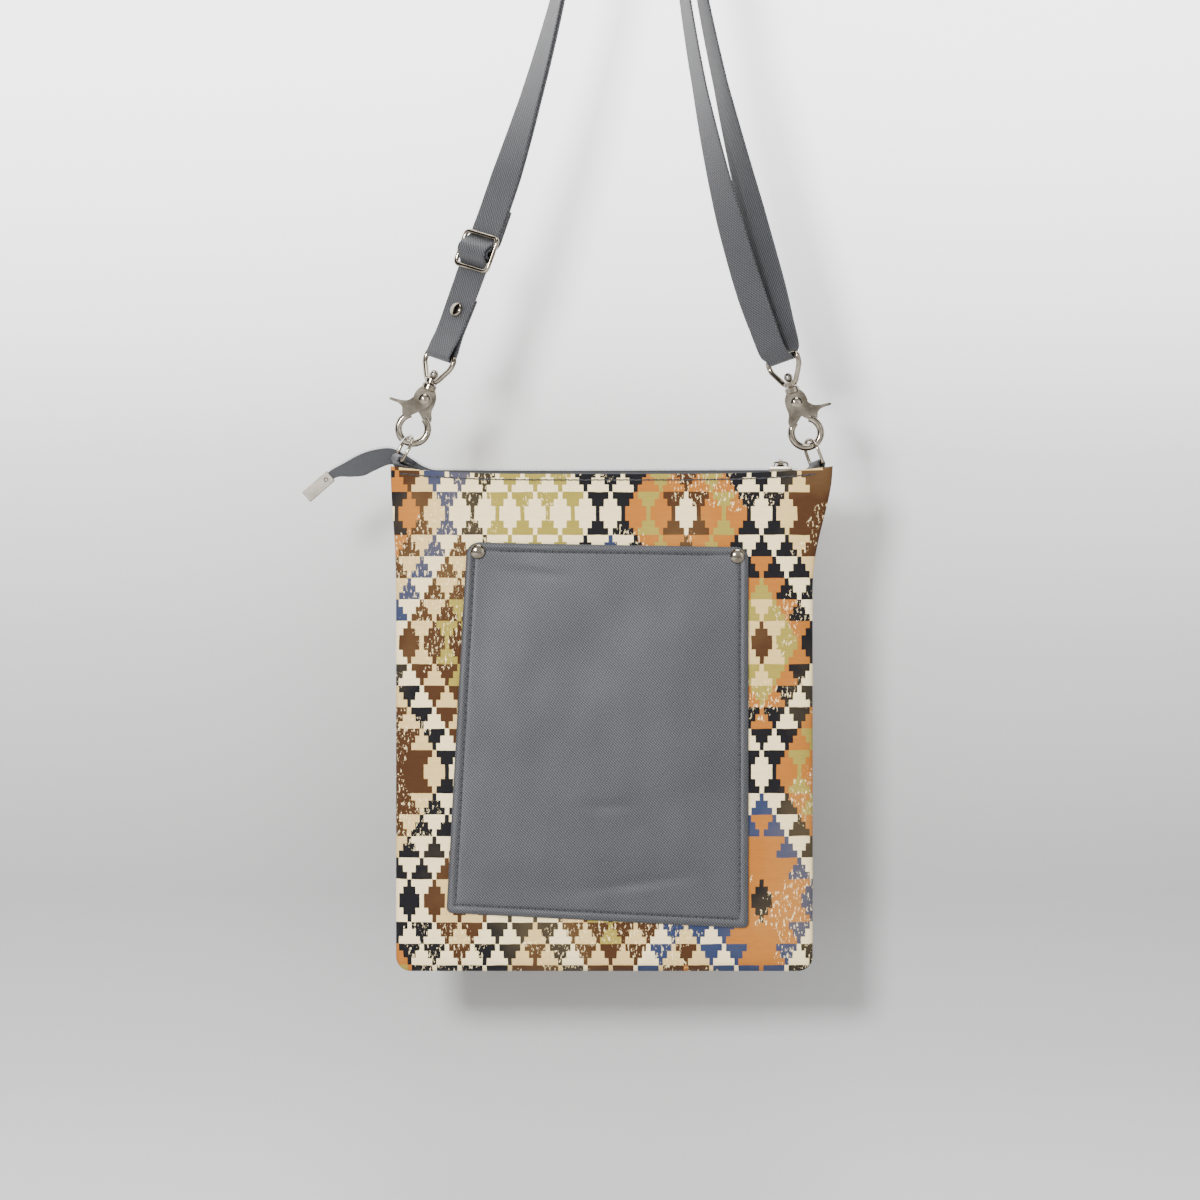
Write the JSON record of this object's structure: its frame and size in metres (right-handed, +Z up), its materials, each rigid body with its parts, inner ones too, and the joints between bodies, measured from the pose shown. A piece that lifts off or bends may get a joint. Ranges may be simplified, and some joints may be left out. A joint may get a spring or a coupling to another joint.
{
  "type": "crossbody bag",
  "caption": "Slim soft zip bag in stepped-diamond printed canvas with a grey riveted front pocket, hung from a doubled webbing shoulder strap on swivel snap hooks.",
  "frame": {"origin": "the underside of the strap's highest point, midway across the webbing, where the bag hangs", "axes": "+Z up along the strap's hang, +X to the viewer's right across the bag's front, +Y away from the viewer from the front panel to the back panel"},
  "size_m": [0.2916, 0.0392, 0.7183],
  "materials": {
    "canvas": "matt printed canvas",
    "grey_twill": "satin twill",
    "zip_tape": "matt woven tape",
    "nickel": "polished",
    "steel": "satin"
  },
  "bodies": {
    "strap_body": {"strap": "grey_twill", "strap_rivet": "nickel", "strap_rivet_back": "nickel"},
    "adjuster": {"strap_buckle": "nickel"},
    "left_eye": {"clip_eye_left": "nickel"},
    "right_eye": {"clip_eye_right": "nickel"},
    "left_hook": {"hook_body_left": "nickel", "swivel_pin_left": "steel", "pivot_rivet_left": "nickel", "jaw_spring_left": "steel"},
    "right_hook": {"hook_body_right": "nickel", "swivel_pin_right": "steel", "pivot_rivet_right": "nickel", "jaw_spring_right": "steel"},
    "left_jaw": {"hook_jaw_left": "nickel"},
    "right_jaw": {"hook_jaw_right": "nickel"},
    "bag": {"front_panel": "canvas", "back_panel": "canvas", "front_pocket": "grey_twill", "pocket_rivet_left": "nickel", "pocket_rivet_right": "nickel", "rivet_back_left": "nickel", "rivet_back_right": "nickel", "zip_stringer_front": "zip_tape", "zip_stringer_back": "zip_tape", "zip_end_cap": "nickel", "end_cap_screw": "nickel", "ring_tab_left": "grey_twill", "ring_tab_right": "grey_twill"},
    "left_ring": {"d_ring_left": "nickel"},
    "right_ring": {"d_ring_right": "nickel"},
    "slider": {"zip_slider": "nickel"},
    "pull": {"zip_pull": "nickel"}
  },
  "joints": [
    {"name": "strap_adjust", "type": "slide", "parent": "strap_body", "child": "adjuster", "axis": [0.3315, 0.0163, 0.9433], "range_m": [-0.012, 0.03], "deforming": ["strap"]},
    {"name": "left_eye_swing", "type": "hinge", "parent": "strap_body", "child": "left_eye", "pos_m": [-0.10463, -0.0054, -0.37689], "axis": [0.6247, -0.7431, -0.2398], "range_deg": [-1, 1]},
    {"name": "right_eye_swing", "type": "hinge", "parent": "strap_body", "child": "right_eye", "pos_m": [0.08242, 0, -0.37806], "axis": [0.6371, -0.7431, 0.2046], "range_deg": [-1, 1]},
    {"name": "left_swivel", "type": "hinge", "parent": "left_eye", "child": "left_hook", "pos_m": [-0.12022, -0.0054, -0.4175], "axis": [0.3584, 0, 0.9336], "range_deg": [-8, 8]},
    {"name": "right_swivel", "type": "hinge", "parent": "right_eye", "child": "right_hook", "pos_m": [0.09571, 0, -0.41947], "axis": [-0.3057, 0, 0.9521], "range_deg": [-8, 8]},
    {"name": "left_jaw_open", "type": "hinge", "parent": "left_hook", "child": "left_jaw", "pos_m": [-0.11402, -0.0054, -0.40135], "axis": [0, 1, 0], "range_deg": [0, 25], "stiffness_Nm_per_rad": 0.02, "springref_deg": -20.05},
    {"name": "right_jaw_open", "type": "hinge", "parent": "right_hook", "child": "right_jaw", "pos_m": [0.09043, 0, -0.403], "axis": [0, -1, 0], "range_deg": [0, 25], "stiffness_Nm_per_rad": 0.02, "springref_deg": -20.05},
    {"name": "bag_swing", "type": "hinge", "parent": "strap_body", "child": "bag", "pos_m": [-0.01246, -0.0027, -0.42608], "axis": [0.9997, 0.0244, -0.0096], "range_deg": [-15, 15]},
    {"name": "left_ring_swing", "type": "hinge", "parent": "bag", "child": "left_ring", "pos_m": [-0.1284, -0.0054, -0.4342], "axis": [0.2962, -0.9397, -0.171], "range_deg": [-2, 2]},
    {"name": "right_ring_swing", "type": "hinge", "parent": "bag", "child": "right_ring", "pos_m": [0.1018, 0, -0.4371], "axis": [0.3971, -0.9063, 0.1445], "range_deg": [-2, 2]},
    {"name": "zip_slide", "type": "slide", "parent": "bag", "child": "slider", "axis": [-1, 0, 0], "range_m": [0, 0.18]},
    {"name": "pull_swing", "type": "hinge", "parent": "slider", "child": "pull", "pos_m": [0.0818, 0, -0.4358], "axis": [1, 0, 0], "range_deg": [0, 220]}
  ]
}
